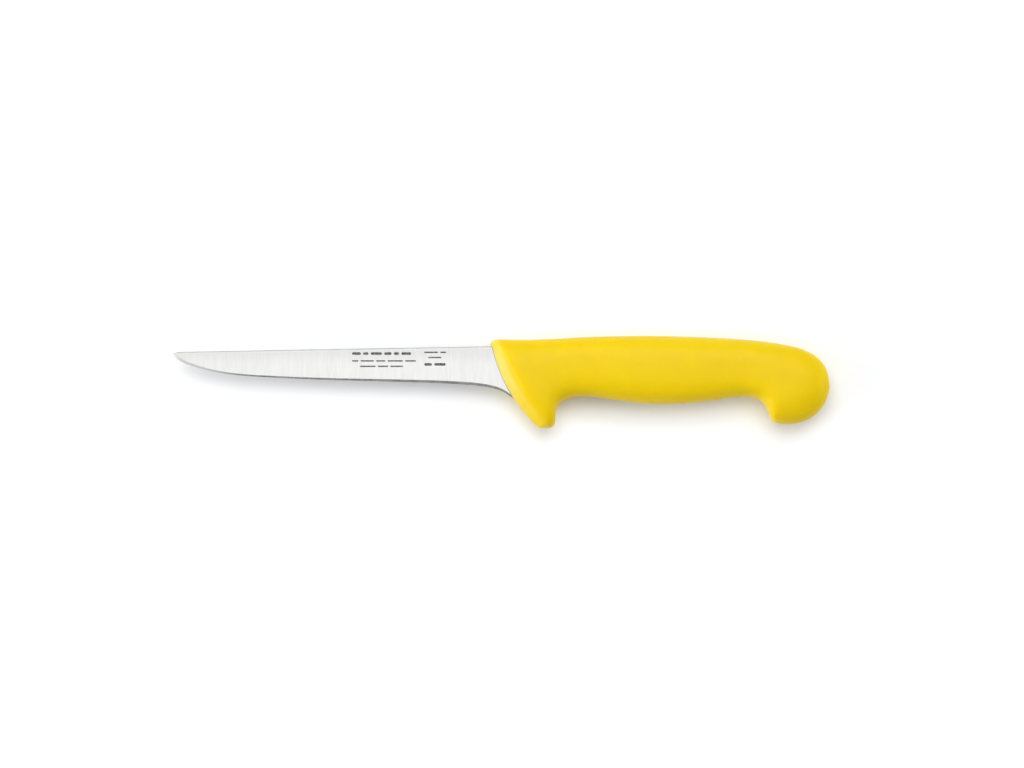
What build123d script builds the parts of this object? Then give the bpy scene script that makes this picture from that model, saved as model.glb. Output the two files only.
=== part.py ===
"""Boning knife: a ground stainless blade with its tang, and the plastic handle moulded round that tang.

Frame: the knife lies on its side. X runs along the knife, with the point at -X and the butt at +X.
Y runs across it, with the spine at +Y and the cutting edge at -Y. Z is up, through its thickness.
The origin is the middle of the footprint, on the surface that the knife lies on. Millimetres.
The shapes are made about the knife's middle plane, Z = 0, and lifted onto that surface at the end.
"""

import os
from math import cos, pi, sin, sqrt

from build123d import *

FAR = 200.0  # past the knife on every side

# Blade: flat ground from the spine to the edge, and thinner towards the point.
STOCK_THICKNESS = 2.3
SPINE_AT_HANDLE = (-4.2, 14.5)
SPINE_SLOPE = 0.0176
SPINE_STRAIGHT_FROM_X = -126.5
SPINE_DROP = (-132.0, 12.06)  # the spine bends down here to meet the point
SPINE_RUN_OUT = (-136.0, 10.5)  # where that bend would go on to, past the point
POINT = (-134.0, 11.5)
GRIND_ALONG = 0.0035  # half thickness lost for each millimetre from the handle towards the point
GRIND_ACROSS = 0.047  # half thickness lost for each millimetre from the spine towards the edge
GRIND_END = ((-4.2, 22.5), (11.5, -13.5))  # the line inside the handle where the grinding stops
POLISH_DEPTH = 0.02
EDGE_ANGLE = 20.0  # degrees from the middle plane to each side of the sharpened edge
EDGE = (
    (-138.5, 16.3),  # run out past the point
    POINT,
    (-132.2, 9.6),
    (-126.5, 6.75),
    (-114.2, 3.7),
    (-96.0, 2.0),
    (-65.3, 0.71),
    (-24.6, -0.5),
    (-12.3, -1.24),
    (-4.2, -2.3),
    (0.9, -3.95),
    (4.8, -6.5),
    (14.0, -15.2),  # run out inside the handle
)

# Tang: inside the handle, at the full thickness of the stock.
TANG_SHOULDER_X = 9.5
TANG_END_X = 92.0
TANG_FRONT_TOP_Y = 11.8
TANG_FRONT_BOTTOM_Y = -1.4
TANG_END_TOP_Y = 9.6
TANG_END_BOTTOM_Y = 0.4
TANG_ROUND = 3.0
KEY_HOLE_RADIUS = 3.0
KEY_HOLE_XS = (24.0, 50.0, 76.0)  # the plastic runs through these and holds the handle on
KEY_HOLE_Y = 5.1

# Handle front: two facets slope back from a thin curved nose.
NOSE_CENTRE = (64.5, 32.1)
NOSE_RADIUS = 70.8
NOSE_HALF = 0.45
FACET_ANGLE = 35.0  # degrees from Z
FACET_DEPTH = 12.0
NOSE_REACH = 60.0  # the nose's curve is drawn this far past its centre, each way
FRONT_ROUND = 1.2

# Handle sections, from the front to the butt. Each row holds a point on the top outline, a point on
# the bottom outline, the half thickness between them, and how square the section is at top and bottom.
SECTIONS = (
    ((-7.0, 17.6), (10.0, -18.9), 8.8, 3.2, 3.0),
    ((-2.6, 17.53), (13.9, -18.83), 8.7, 3.2, 3.0),
    ((1.6, 17.4), (17.4, -18.74), 8.5, 3.2, 3.0),
    ((5.5, 17.25), (20.2, -18.6), 8.3, 3.2, 3.0),
    ((9.0, 17.2), (21.8, -17.3), 8.05, 3.2, 3.0),
    ((12.0, 17.2), (22.25, -15.0), 7.85, 3.2, 3.0),
    ((15.0, 17.28), (22.4, -12.6), 7.7, 3.2, 3.0),
    ((18.5, 17.42), (23.1, -10.1), 7.55, 3.1, 2.9),
    ((23.0, 17.62), (25.1, -7.95), 7.5, 3.0, 2.8),
    ((29.0, 18.0), (29.0, -6.45), 7.6, 3.0, 2.7),
    ((36.0, 18.35), (35.2, -5.93), 7.95, 3.0, 2.7),
    ((46.0, 18.62), (46.0, -7.3), 8.65, 3.0, 2.7),
    ((59.0, 18.77), (59.0, -8.75), 9.25, 3.0, 2.7),
    ((72.0, 18.55), (72.0, -8.85), 9.35, 3.0, 2.7),
    ((85.0, 18.1), (85.0, -7.75), 9.05, 3.0, 2.7),
    ((94.5, 17.55), (93.5, -6.5), 8.65, 2.9, 2.7),
    ((102.0, 17.0), (100.0, -6.15), 8.5, 2.8, 2.7),
    ((108.0, 16.35), (104.7, -7.15), 8.55, 2.7, 2.8),
    ((112.5, 15.7), (107.4, -9.5), 8.65, 2.6, 2.8),
    ((116.0, 15.05), (109.0, -13.0), 8.75, 2.5, 2.8),
    ((119.0, 14.4), (110.8, -16.1), 8.75, 2.4, 2.7),
    ((122.0, 13.6), (114.5, -17.12), 8.65, 2.3, 2.6),
    ((125.3, 12.25), (120.0, -16.85), 8.25, 2.2, 2.5),
    ((128.7, 10.15), (125.6, -14.95), 7.35, 2.1, 2.4),
    ((131.4, 7.2), (129.7, -11.8), 5.9, 2.0, 2.3),
    ((133.2, 3.3), (132.6, -7.3), 3.6, 2.0, 2.1),
)
BUTT = (134.0, -2.0)
SECTION_POINTS = 28


def outline(*edges):
    """A flat face in the middle plane, from edges that close on each other."""
    return make_face(Curve() + list(edges))


def both_sides(half):
    """A shape on the +Z side of the middle plane, joined to its mirror image."""
    return half + mirror(half, Plane.XY)


def front_region():
    """Everything behind the nose's curve, flat in the middle plane."""
    x, y = NOSE_CENTRE
    back = sqrt(NOSE_RADIUS**2 - NOSE_REACH**2)
    high = (x - back, y + NOSE_REACH)
    low = (x - back, y - NOSE_REACH)
    return outline(
        ThreePointArc(high, (x - NOSE_RADIUS, y), low),
        Polyline(low, (FAR, low[1]), (FAR, high[1]), high),
    )


def blade_profile():
    """The blade and tang seen from the side, before the cutting edge is made."""
    spine_x, spine_y = SPINE_AT_HANDLE
    spine_front = (SPINE_STRAIGHT_FROM_X, spine_y + (SPINE_STRAIGHT_FROM_X - spine_x) * SPINE_SLOPE)
    spine_back = (TANG_SHOULDER_X, spine_y + (TANG_SHOULDER_X - spine_x) * SPINE_SLOPE)
    below_y = EDGE[-1][1]
    corners = Polyline(
        spine_front,
        spine_back,
        (TANG_SHOULDER_X, TANG_FRONT_TOP_Y),
        (TANG_END_X, TANG_END_TOP_Y),
        (TANG_END_X, TANG_END_BOTTOM_Y),
        (TANG_SHOULDER_X, TANG_FRONT_BOTTOM_Y),
        (TANG_SHOULDER_X, below_y),
        (SPINE_RUN_OUT[0], below_y),
        SPINE_RUN_OUT,
    )
    return outline(Spline(SPINE_RUN_OUT, POINT, SPINE_DROP, spine_front), corners)


def sharpened():
    """The space above the cutting edge, both of its sides closing to the edge at EDGE_ANGLE."""
    far = [(FAR, EDGE[-1][1]), (FAR, FAR), (-FAR, FAR), (-FAR, EDGE[0][1])]
    region = outline(Spline(*EDGE), Polyline(EDGE[-1], *far, EDGE[0]))
    return both_sides(extrude(region, STOCK_THICKNESS, taper=90 - EDGE_ANGLE))


def ground_off(deeper):
    """What flat grinding takes off both flanks, from the point to just inside the handle."""
    flank = Plane(
        origin=(0, SPINE_AT_HANDLE[1], STOCK_THICKNESS / 2 - deeper),
        x_dir=(1, 0, GRIND_ALONG),
        z_dir=(-GRIND_ALONG, -GRIND_ACROSS, 1),
    )
    high, low = [(x, y - SPINE_AT_HANDLE[1]) for x, y in GRIND_END]
    corners = [(-FAR, -FAR), (low[0], -FAR), low, high, (-FAR, high[1])]
    half = extrude(flank * make_face(Polyline(*corners, close=True)), 2 * STOCK_THICKNESS)
    return [half, mirror(half, Plane.XY)]


def polished_off():
    """What polishing takes off both flanks after the handle is on, so only ahead of the handle."""
    covered = extrude(front_region(), STOCK_THICKNESS, both=True)
    return [cut - covered for cut in ground_off(POLISH_DEPTH)]


def blade_body():
    """The blade and its tang, one piece of stainless steel."""
    blade = extrude(blade_profile(), STOCK_THICKNESS / 2, both=True)
    blade = (blade & sharpened()) - ground_off(0.0) - polished_off()
    blade = fillet(blade.edges().filter_by(Axis.Z).group_by(Axis.X)[-1], TANG_ROUND)
    holes = [Pos(x, KEY_HOLE_Y) * Cylinder(KEY_HOLE_RADIUS, 3 * STOCK_THICKNESS) for x in KEY_HOLE_XS]
    return blade - holes


def smooth(values):
    """A natural cubic curve through evenly spaced values, read at them and midway between them."""
    last = len(values) - 1
    bend = [0.0] * (last + 1)
    pivot = [0.0] * (last + 1)
    for i in range(1, last):
        pivot[i] = 1 / (4 - pivot[i - 1])
        bend[i] = (6 * (values[i + 1] - 2 * values[i] + values[i - 1]) - bend[i - 1]) * pivot[i]
    for i in range(last - 1, 0, -1):
        bend[i] -= pivot[i] * bend[i + 1]
    read = [values[0]]
    for i in range(last):
        read.append((values[i] + values[i + 1]) / 2 - (bend[i] + bend[i + 1]) / 16)
        read.append(values[i + 1])
    return read


def section_wire(top_x, top_y, bottom_x, bottom_y, half, square_top, square_bottom):
    """A closed section of the handle, in the plane that holds the top point, the bottom point and Z."""
    points = []
    for i in range(SECTION_POINTS):
        turn = 2 * pi * i / SECTION_POINTS
        across = (1 - cos(turn)) / 2  # 0 at the top point, 1 at the bottom point
        squareness = square_top if across < 0.5 else square_bottom
        rise = half * sqrt(max(0.0, 1 - abs(cos(turn)) ** squareness))
        x = top_x + (bottom_x - top_x) * across
        y = top_y + (bottom_y - top_y) * across
        points.append((x, y, rise if sin(turn) >= 0 else -rise))
    steps = list(range(SECTION_POINTS + 1))
    return Wire([Edge.make_spline(points, periodic=True, parameters=steps)])


def handle_form():
    """The outer form of the handle, running on past its front."""
    rows = [(*top, *bottom, *shape) for top, bottom, *shape in SECTIONS]
    rows.append((*BUTT, *BUTT, 0.0, 2.0, 2.0))
    rows = list(zip(*[smooth(column) for column in zip(*rows)]))
    return Solid.make_loft([section_wire(*row) for row in rows[:-1]] + [Vertex(*BUTT, 0)])


def behind_front():
    """The space behind the nose and its two facets."""
    region = front_region()
    facet = extrude(Pos(0, 0, NOSE_HALF) * region, FACET_DEPTH, taper=FACET_ANGLE)
    return both_sides(extrude(region, NOSE_HALF) + facet)


def handle_body(blade):
    """The handle, moulded round the tang and through the holes in it."""
    body = handle_form() & behind_front()
    front = [e for e in body.edges() if e.geom_type == GeomType.BSPLINE and e.center().X < 20]
    return fillet(front, FRONT_ROUND) - blade


if __name__ == "__main__":
    blade = blade_body()
    handle = handle_body(blade)
    lift = Pos(0, 0, -handle.bounding_box().min.Z)
    os.makedirs("parts", exist_ok=True)
    for name, body in (("blade", blade), ("handle", handle)):
        placed = lift * body
        print(name, placed.is_valid, len(placed.solids()), round(placed.volume), placed.bounding_box())
        export_step(placed, f"parts/{name}.step")
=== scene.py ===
# A boning knife, lying on its side on a white surface and seen from straight above.
#
# Lengths are in millimetres about the knife's middle plane, and are multiplied by MM where they meet
# Blender. X runs from the point to the butt, Y from the cutting edge to the spine, and Z is up.

from bisect import bisect_right
from math import atan2, cos, hypot, inf, pi, radians, sin, sqrt, tan

import bmesh
import bpy
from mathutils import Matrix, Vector


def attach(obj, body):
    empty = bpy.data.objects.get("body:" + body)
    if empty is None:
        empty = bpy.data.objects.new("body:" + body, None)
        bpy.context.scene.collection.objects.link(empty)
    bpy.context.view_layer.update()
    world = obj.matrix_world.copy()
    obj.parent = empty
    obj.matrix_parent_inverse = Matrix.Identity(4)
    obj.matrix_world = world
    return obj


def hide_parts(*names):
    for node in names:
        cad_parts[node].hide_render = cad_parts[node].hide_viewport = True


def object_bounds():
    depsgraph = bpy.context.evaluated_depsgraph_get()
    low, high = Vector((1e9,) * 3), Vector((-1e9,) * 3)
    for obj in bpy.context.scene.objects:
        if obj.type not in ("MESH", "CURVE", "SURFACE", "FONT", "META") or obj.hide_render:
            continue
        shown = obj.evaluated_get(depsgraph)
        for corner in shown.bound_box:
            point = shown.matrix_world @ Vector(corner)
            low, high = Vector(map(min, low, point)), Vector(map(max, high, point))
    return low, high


MM = 0.001

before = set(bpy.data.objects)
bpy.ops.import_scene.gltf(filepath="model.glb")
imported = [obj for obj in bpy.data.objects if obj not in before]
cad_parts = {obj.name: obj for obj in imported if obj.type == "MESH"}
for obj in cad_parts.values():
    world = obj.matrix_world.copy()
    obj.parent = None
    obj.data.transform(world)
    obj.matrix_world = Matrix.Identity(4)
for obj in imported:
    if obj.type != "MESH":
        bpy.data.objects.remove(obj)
cad_low, cad_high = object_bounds()
mid_height = (cad_low.z + cad_high.z) / 2 / MM

# Blade. It is thickest at the spine by the handle, and ground thinner towards the point and the edge.
POINT = (-134.0, 11.5)
STOCK_HALF = 1.13  # half the greatest thickness
SPINE_AT_HANDLE = (-4.2, 14.5)
SPINE_SLOPE = 0.0176
SPINE_STRAIGHT_FROM_X = -126.5
SPINE_ROUND = 0.35
SPINE_ROUND_SHARE = 0.25  # of the blade's width, the most that the spine's rounding takes near the point
GRIND_ALONG = 0.0035  # half thickness lost for each millimetre towards the point
GRIND_ACROSS = 0.047  # and for each millimetre towards the edge
EDGE_ANGLE = radians(20)  # of the bevel, on each side
# The cutting edge, with a place beyond each end of the blade that leads its curve in.
EDGE = (
    (-138.5, 16.3),
    POINT,
    (-132.2, 9.6),
    (-126.5, 6.75),
    (-114.2, 3.7),
    (-96.0, 2.0),
    (-65.3, 0.71),
    (-24.6, -0.5),
    (-12.3, -1.24),
    (-4.2, -2.3),
    (0.9, -3.95),
    (4.8, -6.5),
    (14.0, -15.2),
)
# The spine's drop to the point, with one place beyond the point.
TIP_SPINE = ((-136.0, 10.5), POINT, (-132.0, 12.06))
FLANK_STEPS = 8
ROUND_STEPS = 8
SHARP_FROM = radians(13)

# Gaps between the blade's sections: they widen behind the point, and close up again at the heel.
FIRST_GAP = 0.12
GAP_GROWTH = 0.15
WIDEST_GAP = 2.0
HEEL_GAP = 1.0
HEEL_FROM_X = -26.0

# Faces of the bevel and of the spine, told from the flanks by their normals.
BEVEL_NORMAL_Y_UNDER = -0.15
BEVEL_NORMAL_Z_OVER = 0.5
SPINE_NORMAL_Y_OVER = 0.08

# Tang, inside the handle.
TANG_SHOULDER_X = 9.5
TANG_END_X = 92.0
TANG_TOP_YS = (11.8, 9.6)  # at the shoulder and at the end
TANG_BOTTOM_YS = (-1.4, 0.4)
TANG_HALF = 1.15  # half thickness of the steel as it was stamped
TANG_ROUND = 3.0  # radius of the two corners at the end
TANG_ROUND_STEPS = 6
TANG_CORNER = 0.05  # radius along its top
TANG_SECTION_XS = (20.0, 35.0, 50.0, 65.0, 80.0)
KEY_HOLES = ((24.0, 5.1), (50.0, 5.1), (76.0, 5.1))
KEY_HOLE_RADIUS = 3.0
KEY_HOLE_SIDES = 48
PUNCH_LENGTH = 8.0

# Handle. Its nose is an arc seen from above, with a straight facet behind it on either side of the blade.
NOSE_CENTRE = (64.5, 32.1)
NOSE_RADIUS = 70.8
NOSE_ROUND = 1.2  # radius of the very front, between the facets
FACET_ANGLE = radians(35)  # between a facet and the upright
FACET_REACH_X = 40.0
FLAT_UNDER = 1e-6  # half thicknesses under this count as none
RIDGE_SHARPNESS = 6.0  # of the rounded ridge between a facet and the grip
BUTT = (134.0, -2.0)
PARTING_RIDGE = 0.05  # how far it stands out, all round the outline

# Rows across the handle, from the nose to the butt: top point, bottom point, half thickness, how square
# the section is at top and bottom, and how much of the nose's curve the row has.
ROWS = (
    ((-4.23, 15.1), (14.37, -17.9), 8.8, 3.2, 3.0, 1.0),
    ((-4.2, 15.45), (14.6, -18.08), 8.8, 3.2, 3.0, 0.99),
    ((-4.02, 16.0), (15.0, -18.35), 8.8, 3.2, 3.0, 0.95),
    ((-3.45, 16.65), (15.7, -18.62), 8.75, 3.2, 3.0, 0.88),
    ((-2.2, 17.2), (16.7, -18.76), 8.7, 3.2, 3.0, 0.74),
    ((-0.2, 17.42), (17.9, -18.76), 8.6, 3.2, 3.0, 0.54),
    ((2.4, 17.36), (19.2, -18.72), 8.45, 3.2, 3.0, 0.3),
    ((5.5, 17.25), (20.3, -18.55), 8.3, 3.2, 3.4, 0.12),
    ((9.0, 17.2), (21.8, -17.3), 8.05, 3.2, 3.9, 0.03),
    ((12.0, 17.2), (22.25, -15.0), 7.85, 3.2, 4.2, 0.0),
    ((15.0, 17.28), (22.4, -12.6), 7.7, 3.2, 4.0, 0.0),
    ((18.5, 17.42), (23.1, -10.1), 7.55, 3.1, 3.4, 0.0),
    ((23.0, 17.62), (25.1, -7.95), 7.5, 3.0, 3.0, 0.0),
    ((29.0, 18.0), (29.0, -6.45), 7.6, 3.0, 2.7, 0.0),
    ((36.0, 18.35), (35.2, -5.93), 7.95, 3.0, 2.7, 0.0),
    ((46.0, 18.62), (46.0, -7.3), 8.65, 3.0, 2.7, 0.0),
    ((59.0, 18.77), (59.0, -8.75), 9.25, 3.0, 2.7, 0.0),
    ((72.0, 18.55), (72.0, -8.85), 9.35, 3.0, 2.8, 0.0),
    ((85.0, 18.1), (85.0, -7.75), 9.05, 3.0, 3.0, 0.0),
    ((94.5, 17.55), (93.5, -6.5), 8.65, 2.9, 3.1, 0.0),
    ((102.0, 17.0), (100.0, -6.15), 8.5, 2.8, 3.2, 0.0),
    ((108.0, 16.35), (104.7, -7.15), 8.55, 2.7, 3.4, 0.0),
    ((112.5, 15.7), (107.4, -9.5), 8.65, 2.6, 3.8, 0.0),
    ((116.0, 15.05), (109.0, -13.0), 8.75, 2.5, 4.0, 0.0),
    ((119.0, 14.4), (110.8, -16.1), 8.75, 2.4, 3.8, 0.0),
    ((122.0, 13.6), (114.5, -17.12), 8.65, 2.3, 3.0, 0.0),
    ((125.3, 12.25), (120.0, -16.85), 8.25, 2.2, 2.25, 0.0),
    ((128.7, 10.15), (125.6, -14.95), 7.35, 2.1, 1.85, 0.0),
    ((131.4, 7.2), (129.7, -11.8), 5.9, 2.0, 1.8, 0.0),
    ((133.2, 3.3), (132.6, -7.3), 3.6, 2.0, 2.1, 0.0),
    (BUTT, BUTT, 0.0, 2.0, 2.0, 0.0),
)
ROW_STEPS = 6
HALF_RING = 40
RIDGE_TURNS = (0.005, 0.016)  # the parting ridge's crown and foot, as turns from the outline in radians

# Plain bars etched on the flank, in rows: first X, Y, bar height and bar lengths.
ETCHED_ROWS = (
    (-60.6, 11.6, 1.1, (3.6, 2.2, 4.6, 3.0, 2.2, 4.0)),
    (-60.6, 8.6, 0.6, (2.6, 5.4, 3.8, 6.2, 4.4)),
    (-57.4, 6.4, 0.6, (6.4, 4.2, 5.2)),
    (-31.2, 12.1, 0.6, (5.6, 2.6)),
    (-29.6, 10.0, 0.6, (5.4,)),
    (-31.2, 7.2, 1.1, (3.2, 4.6)),
)
ETCHED_GAP = 0.9
ETCHED_RELIEF = 0.012  # how far a bar stands out of the flank
ETCHED_SINK = 0.05  # and how far it goes in
ETCHED_SIDES = 16

# Meshes. Points nearer than the first length are merged, and edges shorter than the second are dissolved.
SAME_POINT = 1e-7  # metres
SHORTEST_EDGE = 1e-8  # metres
CURVE_STEPS = 2000  # straight steps along an outline's curve

# View and floor.
VIEW_WIDTH = 417.3
VIEW_CENTRE = (4.56, -0.8)
FLOOR_METRES = 8


def spline(knots, values):
    """A natural cubic curve through values at knots, as a function."""
    last = len(knots) - 1
    gap = [knots[i + 1] - knots[i] for i in range(last)]
    bend = [0.0] * (last + 1)
    carry = [0.0] * (last + 1)
    for i in range(1, last):
        pivot = 2 * (gap[i - 1] + gap[i]) - gap[i - 1] * carry[i - 1]
        change = (values[i + 1] - values[i]) / gap[i] - (values[i] - values[i - 1]) / gap[i - 1]
        carry[i] = gap[i] / pivot
        bend[i] = (6 * change - gap[i - 1] * bend[i - 1]) / pivot
    for i in range(last - 1, 0, -1):
        bend[i] -= carry[i] * bend[i + 1]

    def read(knot):
        i = min(max(bisect_right(knots, knot) - 1, 0), last - 1)
        b = (knot - knots[i]) / gap[i]
        a = 1 - b
        curved = (a**3 - a) * bend[i] + (b**3 - b) * bend[i + 1]
        return a * values[i] + b * values[i + 1] + curved * gap[i] ** 2 / 6

    return read


def height_of(points):
    """The smooth curve through points, as a function from X to Y."""
    knots = [0.0]
    for (x0, y0), (x1, y1) in zip(points, points[1:]):
        knots.append(knots[-1] + hypot(x1 - x0, y1 - y0))
    x_at = spline(knots, [x for x, y in points])
    y_at = spline(knots, [y for x, y in points])
    along = [knots[-1] * i / CURVE_STEPS for i in range(CURVE_STEPS + 1)]
    xs = [x_at(knot) for knot in along]
    ys = [y_at(knot) for knot in along]

    def read(x):
        i = min(max(bisect_right(xs, x) - 1, 0), CURVE_STEPS - 1)
        return ys[i] + (ys[i + 1] - ys[i]) * (x - xs[i]) / (xs[i + 1] - xs[i])

    return read


def add_mesh(name, verts, faces):
    """A new object from points in millimetres about the middle plane."""
    mesh = bpy.data.meshes.new(name)
    mesh.from_pydata([(x * MM, y * MM, (z + mid_height) * MM) for x, y, z in verts], [], faces)
    mesh.validate()
    work = bmesh.new()
    work.from_mesh(mesh)
    bmesh.ops.remove_doubles(work, verts=work.verts, dist=SAME_POINT)
    bmesh.ops.dissolve_degenerate(work, edges=work.edges, dist=SHORTEST_EDGE)
    bmesh.ops.recalc_face_normals(work, faces=work.faces)
    work.to_mesh(mesh)
    work.free()
    thing = bpy.data.objects.new(name, mesh)
    bpy.context.scene.collection.objects.link(thing)
    return thing


def rings_to_faces(ring_count, ring_size):
    """Quads between neighbouring rings of points."""
    faces = []
    for row in range(ring_count - 1):
        for i in range(ring_size):
            j = (i + 1) % ring_size
            a = row * ring_size
            b = a + ring_size
            faces.append((a + i, a + j, b + j, b + i))
    return faces


# Blade.
edge_y = height_of(EDGE)


def straight_spine_y(x):
    """The spine's Y at X, behind its drop to the point."""
    return SPINE_AT_HANDLE[1] + (x - SPINE_AT_HANDLE[0]) * SPINE_SLOPE


tip_spine_y = height_of((*TIP_SPINE, (SPINE_STRAIGHT_FROM_X, straight_spine_y(SPINE_STRAIGHT_FROM_X))))


def flank_height(x, y):
    """Half thickness of the ground blade, before it is sharpened."""
    return min(STOCK_HALF, STOCK_HALF + GRIND_ALONG * x + GRIND_ACROSS * (y - SPINE_AT_HANDLE[1]))


def half_section(x, bottom, bevel, corner, top, half_at=flank_height):
    """Half of a section: the edge, the bevel's top, the flank, the eased spine and the spine's middle."""
    points = [(x, bottom, 0.0)]
    flank_end = top - corner
    start = min(bottom + bevel, flank_end)
    for i in range(FLANK_STEPS + 1):
        y = flank_end - (flank_end - start) * (1 - i / FLANK_STEPS) ** 2
        points.append((x, y, half_at(x, y)))
    deep = points[-1][2] - corner
    for i in range(1, ROUND_STEPS + 1):
        turn = pi / 2 * i / ROUND_STEPS
        points.append((x, flank_end + corner * sin(turn), deep + corner * cos(turn)))
    points.append((x, top, 0.0))
    return points


def blade_section(x):
    """Half of a section of the ground and sharpened blade."""
    bottom = edge_y(x)
    top = tip_spine_y(x) if x < SPINE_STRAIGHT_FROM_X else straight_spine_y(x)
    beside = 0.05
    slant = atan2(edge_y(x + beside) - edge_y(x - beside), 2 * beside)
    rise = tan(EDGE_ANGLE) * cos(slant)
    bevel = flank_height(x, bottom) / (rise - GRIND_ACROSS)
    width = max(0.0, top - bottom)
    corner = min(SPINE_ROUND, SPINE_ROUND_SHARE * width)
    points = half_section(x, bottom, bevel, corner, top)
    if bevel > width - corner:
        # near the point the bevel reaches the spine
        points = [(x, y, min(z, rise * (y - bottom))) for x, y, z in points]
        points[-1] = (x, top, 0.0)
    return points


def tang_section(x):
    """Half of a section of the tang, which narrows and ends in two round corners."""
    along = (x - TANG_SHOULDER_X) / (TANG_END_X - TANG_SHOULDER_X)
    top = TANG_TOP_YS[0] + (TANG_TOP_YS[1] - TANG_TOP_YS[0]) * along
    bottom = TANG_BOTTOM_YS[0] + (TANG_BOTTOM_YS[1] - TANG_BOTTOM_YS[0]) * along
    into_round = max(0.0, x - (TANG_END_X - TANG_ROUND))
    inset = TANG_ROUND - sqrt(max(0.0, TANG_ROUND**2 - into_round**2))
    return half_section(x, bottom + inset, 0.0, TANG_CORNER, top - inset, lambda x, y: TANG_HALF)


def section_places():
    """X of each section, along the blade and then along the tang."""
    blade_xs = [POINT[0]]
    while blade_xs[-1] < TANG_SHOULDER_X - HEEL_GAP:
        x = blade_xs[-1]
        widest = WIDEST_GAP if x < HEEL_FROM_X else HEEL_GAP
        blade_xs.append(x + min(FIRST_GAP + GAP_GROWTH * (x - POINT[0]), widest))
    blade_xs[-1] = TANG_SHOULDER_X
    tang_xs = [TANG_SHOULDER_X, *TANG_SECTION_XS]
    for i in range(TANG_ROUND_STEPS + 1):
        turn = pi / 2 * i / TANG_ROUND_STEPS
        tang_xs.append(TANG_END_X - TANG_ROUND + TANG_ROUND * sin(turn))
    return blade_xs, tang_xs


def make_blade():
    """The blade with its tang, one closed skin."""
    blade_xs, tang_xs = section_places()
    halves = [blade_section(x) for x in blade_xs] + [tang_section(x) for x in tang_xs]
    rings = [half + [(x, y, -z) for x, y, z in half[-2:0:-1]] for half in halves]
    size = len(rings[0])
    faces = rings_to_faces(len(rings), size)
    first = (len(rings) - 1) * size
    for i in range(size // 2):
        # a strip of the tang's flat end, from one side of the last ring to the other
        faces.append((first + i, first + i + 1, first + size - i - 1, first + (size - i) % size))
    blade = add_mesh("ground_blade", [point for points in rings for point in points], faces)
    for x, y in KEY_HOLES:
        punch_hole(blade, x, y)
    blade.data.shade_smooth()
    blade.data.set_sharp_from_angle(angle=SHARP_FROM)
    return blade


def punch_hole(blade, x, y):
    """One round hole through the tang."""
    bpy.ops.mesh.primitive_cylinder_add(
        vertices=KEY_HOLE_SIDES,
        radius=KEY_HOLE_RADIUS * MM,
        depth=PUNCH_LENGTH * MM,
        location=(x * MM, y * MM, mid_height * MM),
    )
    punch = bpy.context.object
    cut = blade.modifiers.new("key_hole", "BOOLEAN")
    cut.object = punch
    cut.solver = "EXACT"
    bpy.context.view_layer.objects.active = blade
    bpy.ops.object.modifier_apply(modifier=cut.name)
    bpy.data.objects.remove(punch)


def give_blade_materials(blade):
    """Ground steel on the flanks, honed steel on the bevel and steel with painted shade along the spine.
    """
    for material in (blade_steel(), honed_edge(), spine_with_painted_shade()):
        blade.data.materials.append(material)
    for face in blade.data.polygons:
        if face.center.x < TANG_SHOULDER_X * MM:
            if face.normal.y < BEVEL_NORMAL_Y_UNDER and abs(face.normal.z) > BEVEL_NORMAL_Z_OVER:
                face.material_index = 1
            elif face.normal.y > SPINE_NORMAL_Y_OVER:
                face.material_index = 2


def make_etched_bars():
    """Plain bars with round ends, a hair proud of the flank."""
    verts, faces = [], []
    sides = range(ETCHED_SIDES)
    for first_x, y, height, lengths in ETCHED_ROWS:
        x = first_x
        radius = height / 2
        for length in lengths:
            rim = []
            for i in sides:
                turn = 2 * pi * (i + 0.5) / ETCHED_SIDES
                end = x + radius if cos(turn) < 0 else x + length - radius
                rim.append((end + radius * cos(turn), y + radius * sin(turn)))
            top = len(verts)
            bottom = top + ETCHED_SIDES
            verts += [(px, py, flank_height(px, py) + ETCHED_RELIEF) for px, py in rim]
            verts += [(px, py, flank_height(px, py) - ETCHED_SINK) for px, py in rim]
            faces.append(tuple(top + i for i in sides))
            faces.append(tuple(bottom + i for i in reversed(sides)))
            for i in sides:
                j = (i + 1) % ETCHED_SIDES
                faces.append((top + i, bottom + i, bottom + j, top + j))
            x += length + ETCHED_GAP
    return add_mesh("etched_bars", verts, faces)


# Handle.
def nose_x(y):
    """The nose's curve, as X at a given Y."""
    return NOSE_CENTRE[0] - sqrt(NOSE_RADIUS**2 - (y - NOSE_CENTRE[1]) ** 2)


def facet_height(x, y):
    """Half thickness of the handle under its front facets: a rounded nose and a straight slope."""
    if x > FACET_REACH_X:
        return inf
    behind = max(0.0, NOSE_RADIUS - hypot(x - NOSE_CENTRE[0], y - NOSE_CENTRE[1]))
    start = NOSE_ROUND * (1 - cos(FACET_ANGLE))
    if behind < start:
        return sqrt(behind * (2 * NOSE_ROUND - behind))
    return NOSE_ROUND * sin(FACET_ANGLE) + (behind - start) / tan(FACET_ANGLE)


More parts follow.
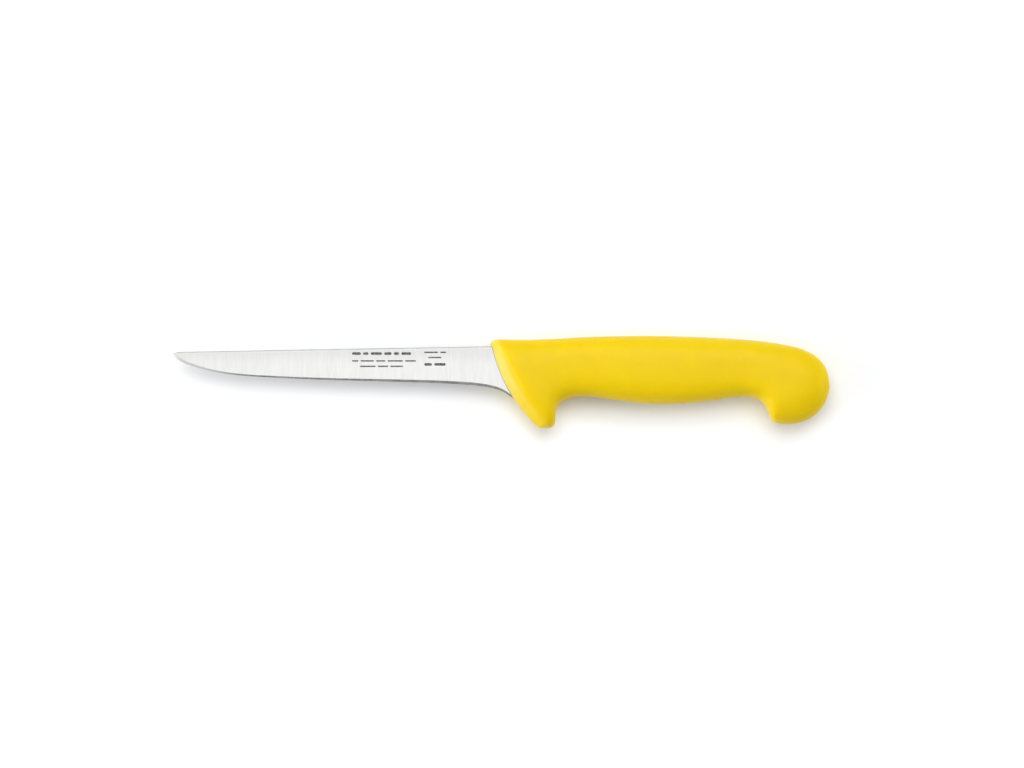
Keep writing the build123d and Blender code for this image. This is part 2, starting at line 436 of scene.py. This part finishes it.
def handle_point(row, turn):
    """A point of the handle: row gives the section, turn goes once round it from the top outline."""
    top_x, top_y, bottom_x, bottom_y, half, square_top, square_bottom, curve = row
    across = (1 - cos(turn)) / 2
    x = top_x + (bottom_x - top_x) * across
    y = top_y + (bottom_y - top_y) * across
    first_top, first_bottom = ROWS[0][0], ROWS[0][1]
    first_x = first_top[0] + (first_bottom[0] - first_top[0]) * across
    first_y = first_top[1] + (first_bottom[1] - first_top[1]) * across
    x -= curve * (first_x - nose_x(first_y))  # bends the straight row onto the nose's arc
    squareness = square_top if across < 0.5 else square_bottom
    body = half * sqrt(max(0.0, 1 - abs(cos(turn)) ** squareness))
    facet = facet_height(x, y)
    rise = 0.0
    if min(body, facet) > FLAT_UNDER:
        p = RIDGE_SHARPNESS
        rise = (body**-p + facet**-p) ** (-1 / p)
    if abs(sin(turn)) > sum(RIDGE_TURNS) / 2:
        # all but the parting ridge's crown is drawn in, so that the ridge stands proud
        width = max(1.0, hypot(top_x - bottom_x, top_y - bottom_y))
        x += PARTING_RIDGE * cos(turn) * (bottom_x - top_x) / width
        y += PARTING_RIDGE * cos(turn) * (bottom_y - top_y) / width
    return x, y, rise if sin(turn) >= 0 else -rise


def make_handle():
    """The moulded handle, one closed skin."""
    columns = list(zip(*[(*top, *bottom, *rest) for top, bottom, *rest in ROWS]))
    knots = list(range(len(ROWS)))
    reads = [spline(knots, column) for column in columns]
    row_count = (len(ROWS) - 1) * ROW_STEPS + 1
    rows = [[read(i / ROW_STEPS) for read in reads] for i in range(row_count)]
    quarter = [0.0, *RIDGE_TURNS] + [pi * i / HALF_RING for i in range(1, HALF_RING // 2)]
    half_turns = quarter + [pi / 2] + [pi - turn for turn in reversed(quarter)]
    turns = half_turns[:-1] + [pi + turn for turn in half_turns[:-1]]
    verts = [handle_point(row, turn) for row in rows for turn in turns]
    handle = add_mesh("moulded_handle", verts, rings_to_faces(len(rows), len(turns)))
    handle.data.shade_smooth()
    return handle


# Materials.
def new_material(name):
    """A new node material with its tree, its shader and the object's own coordinates in metres."""
    material = bpy.data.materials.new(name)
    material.use_nodes = True
    tree = material.node_tree
    place = tree.nodes.new("ShaderNodeTexCoord").outputs["Object"]
    return material, tree, tree.nodes["Principled BSDF"], place


def add_node(tree, kind, inputs, **settings):
    """A node with its settings and inputs, each input a value or another node's output."""
    made = tree.nodes.new(kind)
    for name, value in settings.items():
        setattr(made, name, value)
    for name, value in inputs.items():
        if isinstance(value, bpy.types.NodeSocket):
            tree.links.new(value, made.inputs[name])
        else:
            made.inputs[name].default_value = value
    return made


def noise(tree, place, scale, detail=2.0, stretch=(1, 1, 1)):
    """Soft noise from 0 to 1, with so many features per metre along each stretched axis."""
    stretched = add_node(tree, "ShaderNodeMapping", {"Vector": place, "Scale": stretch}).outputs["Vector"]
    inputs = {"Vector": stretched, "Scale": scale, "Detail": detail}
    return add_node(tree, "ShaderNodeTexNoise", inputs).outputs[0]


def graded(tree, value, low, high, to_low=0.0, to_high=1.0, smooth_steps=False):
    """The value taken from low..high to to_low..to_high, and held at the ends."""
    inputs = {"Value": value, "From Min": low, "From Max": high, "To Min": to_low, "To Max": to_high}
    kind = "SMOOTHSTEP" if smooth_steps else "LINEAR"
    return add_node(tree, "ShaderNodeMapRange", inputs, interpolation_type=kind).outputs["Result"]


def mixed(tree, factor, first, second):
    """The first colour, turning into the second as factor goes from 0 to 1."""
    inputs = {0: factor, 6: first, 7: second}  # the node's three inputs for colours go by number
    return add_node(tree, "ShaderNodeMix", inputs, data_type="RGBA").outputs[2]


def maths(tree, operation, first, second):
    """One calculation with two values."""
    return add_node(tree, "ShaderNodeMath", {0: first, 1: second}, operation=operation).outputs["Value"]


def bumped(tree, height, depth, normal=None):
    """A normal for a surface whose relief is depth metres between height 0 and 1."""
    inputs = {"Height": height, "Distance": depth, "Strength": 1.0}
    if normal is not None:
        inputs["Normal"] = normal
    return add_node(tree, "ShaderNodeBump", inputs).outputs["Normal"]


def link(tree, output, shader, name):
    """Feeds a node's output into one of the shader's inputs."""
    tree.links.new(output, shader.inputs[name])


def behind_nose(tree, place):
    """How far a point is behind the nose's curve, in metres."""
    flattened = {0: place, 1: (1, 1, 0)}
    flat = add_node(tree, "ShaderNodeVectorMath", flattened, operation="MULTIPLY").outputs["Vector"]
    from_centre = {0: flat, 1: (NOSE_CENTRE[0] * MM, NOSE_CENTRE[1] * MM, 0)}
    away = add_node(tree, "ShaderNodeVectorMath", from_centre, operation="DISTANCE").outputs["Value"]
    return maths(tree, "SUBTRACT", NOSE_RADIUS * MM, away)


def handle_plastic():
    """Yellow polypropylene from a finely spark-eroded mould."""
    material, tree, shader, place = new_material("handle_plastic")
    grain = noise(tree, place, 2300, 3)
    patches = noise(tree, place, 140, 2)
    colour = mixed(tree, patches, (0.70, 0.497, 0.0006, 1), (0.75, 0.541, 0.001, 1))

    # the facets are polished, so less rough, and a painted highlight makes their colour paler, palest
    # beside the upper half of the blade
    axes = add_node(tree, "ShaderNodeSeparateXYZ", {"Vector": place}).outputs
    on_facet = graded(tree, behind_nose(tree, place), 2.6 * MM, 4.8 * MM, 1, 0, smooth_steps=True)
    in_front = graded(tree, axes["X"], 30 * MM, 40 * MM, 1, 0)
    polished_and_highlit = maths(tree, "MULTIPLY", on_facet, in_front)
    by_height = graded(tree, axes["Y"], -14 * MM, 6 * MM, 0.12, 1, smooth_steps=True)
    by_corner = graded(tree, axes["Y"], 9 * MM, 15 * MM, 1, 0.5)
    painted_highlight = maths(tree, "MULTIPLY", maths(tree, "MULTIPLY", polished_and_highlit, by_height), by_corner)
    # painted highlight: a paler colour on the facets
    colour = mixed(tree, painted_highlight, colour, (0.77, 0.61, 0.11, 1))

    # a few dark specks, in about one cell out of seven
    flat = add_node(tree, "ShaderNodeMapping", {"Vector": place, "Scale": (1, 1, 0.02)}).outputs["Vector"]
    cells = add_node(tree, "ShaderNodeTexVoronoi", {"Vector": flat, "Scale": 75})
    near = graded(tree, cells.outputs["Distance"], 0.010, 0.022, 1, 0)
    chosen = add_node(tree, "ShaderNodeSeparateColor", {"Color": cells.outputs["Color"]}).outputs["Red"]
    speck = maths(tree, "MULTIPLY", near, graded(tree, chosen, 0.86, 0.87))
    colour = mixed(tree, maths(tree, "MULTIPLY", speck, 0.6), colour, (0.12, 0.08, 0.02, 1))
    link(tree, colour, shader, "Base Color")

    by_patch = graded(tree, patches, 0.3, 0.7, 0.35, 0.42)
    by_grain = graded(tree, grain, 0.3, 0.7, -0.05, 0.05)
    roughness = maths(tree, "ADD", by_patch, by_grain)
    roughness = maths(tree, "SUBTRACT", roughness, maths(tree, "MULTIPLY", polished_and_highlit, 0.1))
    link(tree, roughness, shader, "Roughness")
    link(tree, bumped(tree, grain, 46e-6, bumped(tree, patches, 60e-6)), shader, "Normal")
    shader.inputs["Specular IOR Level"].default_value = 0.14
    shader.inputs["Subsurface Weight"].default_value = 0.5
    shader.inputs["Subsurface Radius"].default_value = (1.0, 0.5, 0.05)
    shader.inputs["Subsurface Scale"].default_value = 3 * MM
    return material


def blade_steel():
    """Stainless steel, ground across the blade, with a fine dark line painted where it enters the handle:
    partly residue in the joint, partly painted shade.
    """
    material, tree, shader, place = new_material("blade_steel")
    wide = noise(tree, place, 1, 2, (420, 50, 50))
    fine = noise(tree, place, 1, 3, (2600, 150, 150))
    streaks = maths(tree, "ADD", maths(tree, "MULTIPLY", wide, 0.2), maths(tree, "MULTIPLY", fine, 0.8))
    streaky = graded(tree, streaks, 0.3, 0.7)
    colour = mixed(tree, streaky, (0.60, 0.60, 0.59, 1), (0.66, 0.66, 0.65, 1))
    y = add_node(tree, "ShaderNodeSeparateXYZ", {"Vector": place}).outputs["Y"]
    # painted shade: the flank's colour is darker towards the spine
    painted_shade_to_spine = graded(tree, y, 6 * MM, 13 * MM, 0, 0.3, smooth_steps=True)
    colour = mixed(tree, painted_shade_to_spine, colour, (0.43, 0.43, 0.43, 1))

    # the nose is rounded, so it meets the thicker steel by the spine further back
    meets = graded(tree, y, -4 * MM, 14 * MM, -0.2 * MM, 0.32 * MM)
    covered = maths(tree, "SUBTRACT", behind_nose(tree, place), meets)
    # the dark line along the joint is partly residue and partly painted shade
    residue_and_shade_line = graded(tree, covered, 0, 0.1 * MM, 0, 0.95)
    colour = mixed(tree, residue_and_shade_line, colour, (0.08, 0.05, 0.03, 1))
    link(tree, colour, shader, "Base Color")
    link(tree, graded(tree, streaks, 0.3, 0.7, 0.43, 0.35), shader, "Roughness")
    link(tree, bumped(tree, fine, 2.5e-6, bumped(tree, wide, 3e-6)), shader, "Normal")
    shader.inputs["Metallic"].default_value = 1
    return material


def honed_edge():
    """The bevel of the cutting edge, with uneven marks of the stone, and rougher by the point, where a
    painted reflection makes its colour paler.
    """
    material, tree, shader, place = new_material("honed_edge")
    uneven = noise(tree, place, 1, 3, (260, 900, 900))
    scratches = noise(tree, place, 1, 2, (3200, 300, 300))
    blotchy = graded(tree, uneven, 0.35, 0.65)
    colour = mixed(tree, blotchy, (0.46, 0.45, 0.41, 1), (0.70, 0.69, 0.65, 1))
    x = add_node(tree, "ShaderNodeSeparateXYZ", {"Vector": place}).outputs["X"]
    # towards the point the colour is painted paler, a painted reflection, and the roughness rises
    highlit_and_rougher_by_point = graded(tree, x, -122 * MM, -100 * MM, 1, 0, smooth_steps=True)
    colour = mixed(tree, highlit_and_rougher_by_point, colour, (0.75, 0.74, 0.70, 1))
    link(tree, colour, shader, "Base Color")
    scratched = graded(tree, scratches, 0.3, 0.7, 0.26, 0.38)
    roughness = maths(tree, "ADD", scratched, maths(tree, "MULTIPLY", highlit_and_rougher_by_point, 0.24))
    link(tree, roughness, shader, "Roughness")
    link(tree, bumped(tree, scratches, 2e-6), shader, "Normal")
    shader.inputs["Metallic"].default_value = 1
    return material


def spine_with_painted_shade():
    """The back of the blade: duller and rougher than the ground flanks, and its colour painted darker as
    painted shade.
    """
    material, tree, shader, place = new_material("spine_with_painted_shade")
    drawn = noise(tree, place, 1, 3, (150, 1500, 1500))
    pits = noise(tree, place, 3000, 2)
    # painted shade: the spine's colour is a dark grey
    streaky = graded(tree, drawn, 0.3, 0.7)
    colour = mixed(tree, streaky, (0.29, 0.29, 0.28, 1), (0.42, 0.42, 0.41, 1))
    link(tree, colour, shader, "Base Color")
    link(tree, graded(tree, pits, 0.3, 0.7, 0.42, 0.58), shader, "Roughness")
    link(tree, bumped(tree, pits, 5e-6, bumped(tree, drawn, 6e-6)), shader, "Normal")
    shader.inputs["Metallic"].default_value = 1
    return material


def etched_black():
    """The dark oxide of an etched mark, worn through here and there."""
    material, tree, shader, place = new_material("etched_black")
    wear = noise(tree, place, 1500, 3)
    worn = graded(tree, wear, 0.45, 0.7, 0, 0.35)
    colour = mixed(tree, worn, (0.07, 0.065, 0.06, 1), (0.5, 0.5, 0.49, 1))
    link(tree, colour, shader, "Base Color")
    link(tree, graded(tree, wear, 0.3, 0.7, 0.75, 0.5), shader, "Roughness")
    link(tree, bumped(tree, wear, 4e-6), shader, "Normal")
    shader.inputs["Metallic"].default_value = 0.3
    return material


# Scene.
def make_floor():
    """A plain white floor, which isn't part of the knife."""
    bpy.ops.mesh.primitive_plane_add(size=FLOOR_METRES)
    floor = bpy.context.object
    floor.name = "floor"
    material, _, shader, _ = new_material("floor_white")
    shader.inputs["Base Color"].default_value = (0.895, 0.90, 0.912, 1)
    shader.inputs["Roughness"].default_value = 0.9
    shader.inputs["Specular IOR Level"].default_value = 0.1
    floor.data.materials.append(material)


def softbox(name, place, aim, width, height, power):
    """A soft rectangular light that the camera doesn't see, in metres and watts."""
    light = bpy.data.lights.new(name, "AREA")
    light.shape = "RECTANGLE"
    light.size = width
    light.size_y = height
    light.energy = power
    lamp = bpy.data.objects.new(name, light)
    lamp.location = place
    lamp.rotation_euler = (Vector(aim) - Vector(place)).to_track_quat("-Z", "Y").to_euler()
    lamp.visible_camera = False
    bpy.context.scene.collection.objects.link(lamp)


def make_camera():
    """Straight down on the middle plane, with the knife's spine towards the top of the frame."""
    camera = bpy.data.cameras.new("camera")
    camera.lens = 150
    camera.sensor_width = 36
    distance = VIEW_WIDTH * MM * camera.lens / camera.sensor_width
    eye = bpy.data.objects.new("camera", camera)
    eye.location = (VIEW_CENTRE[0] * MM, VIEW_CENTRE[1] * MM, mid_height * MM + distance)
    bpy.context.scene.collection.objects.link(eye)
    bpy.context.scene.camera = eye


def make_world():
    """A faint cool light from all round."""
    world = bpy.data.worlds.new("studio")
    world.use_nodes = True
    background = world.node_tree.nodes["Background"]
    background.inputs["Color"].default_value = (0.97, 0.98, 1.0, 1)
    background.inputs["Strength"].default_value = 0.37
    bpy.context.scene.world = world


make_camera()
make_floor()

handle = make_handle()
handle.data.materials.append(handle_plastic())
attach(handle, "root")
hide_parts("handle")

blade = make_blade()
give_blade_materials(blade)
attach(blade, "root")
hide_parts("blade")

bars = make_etched_bars()
bars.data.materials.append(etched_black())
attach(bars, "root")

softbox("key", (0, 2.3, 2.9), (0, 0, 0), 3.6, 2.9, 62)
softbox("key_high", (0, 1.5, 3.4), (0, 0, 0), 4.4, 2.4, 46)
softbox("overhead", (0, 0, 2.6), (0, 0, 0), 2.0, 1.8, 12)
softbox("left", (-3.1, -0.4, 1.8), (0, 0, 0), 1.6, 1.2, 12)
softbox("left_low", (-3.3, -0.4, 0.85), (0, 0, 0.1), 2.4, 1.3, 74)
softbox("right_low", (3.3, 0.1, 0.95), (0, 0, 0), 2.4, 1.2, 20)

make_world()
bpy.context.scene.view_settings.view_transform = "Standard"
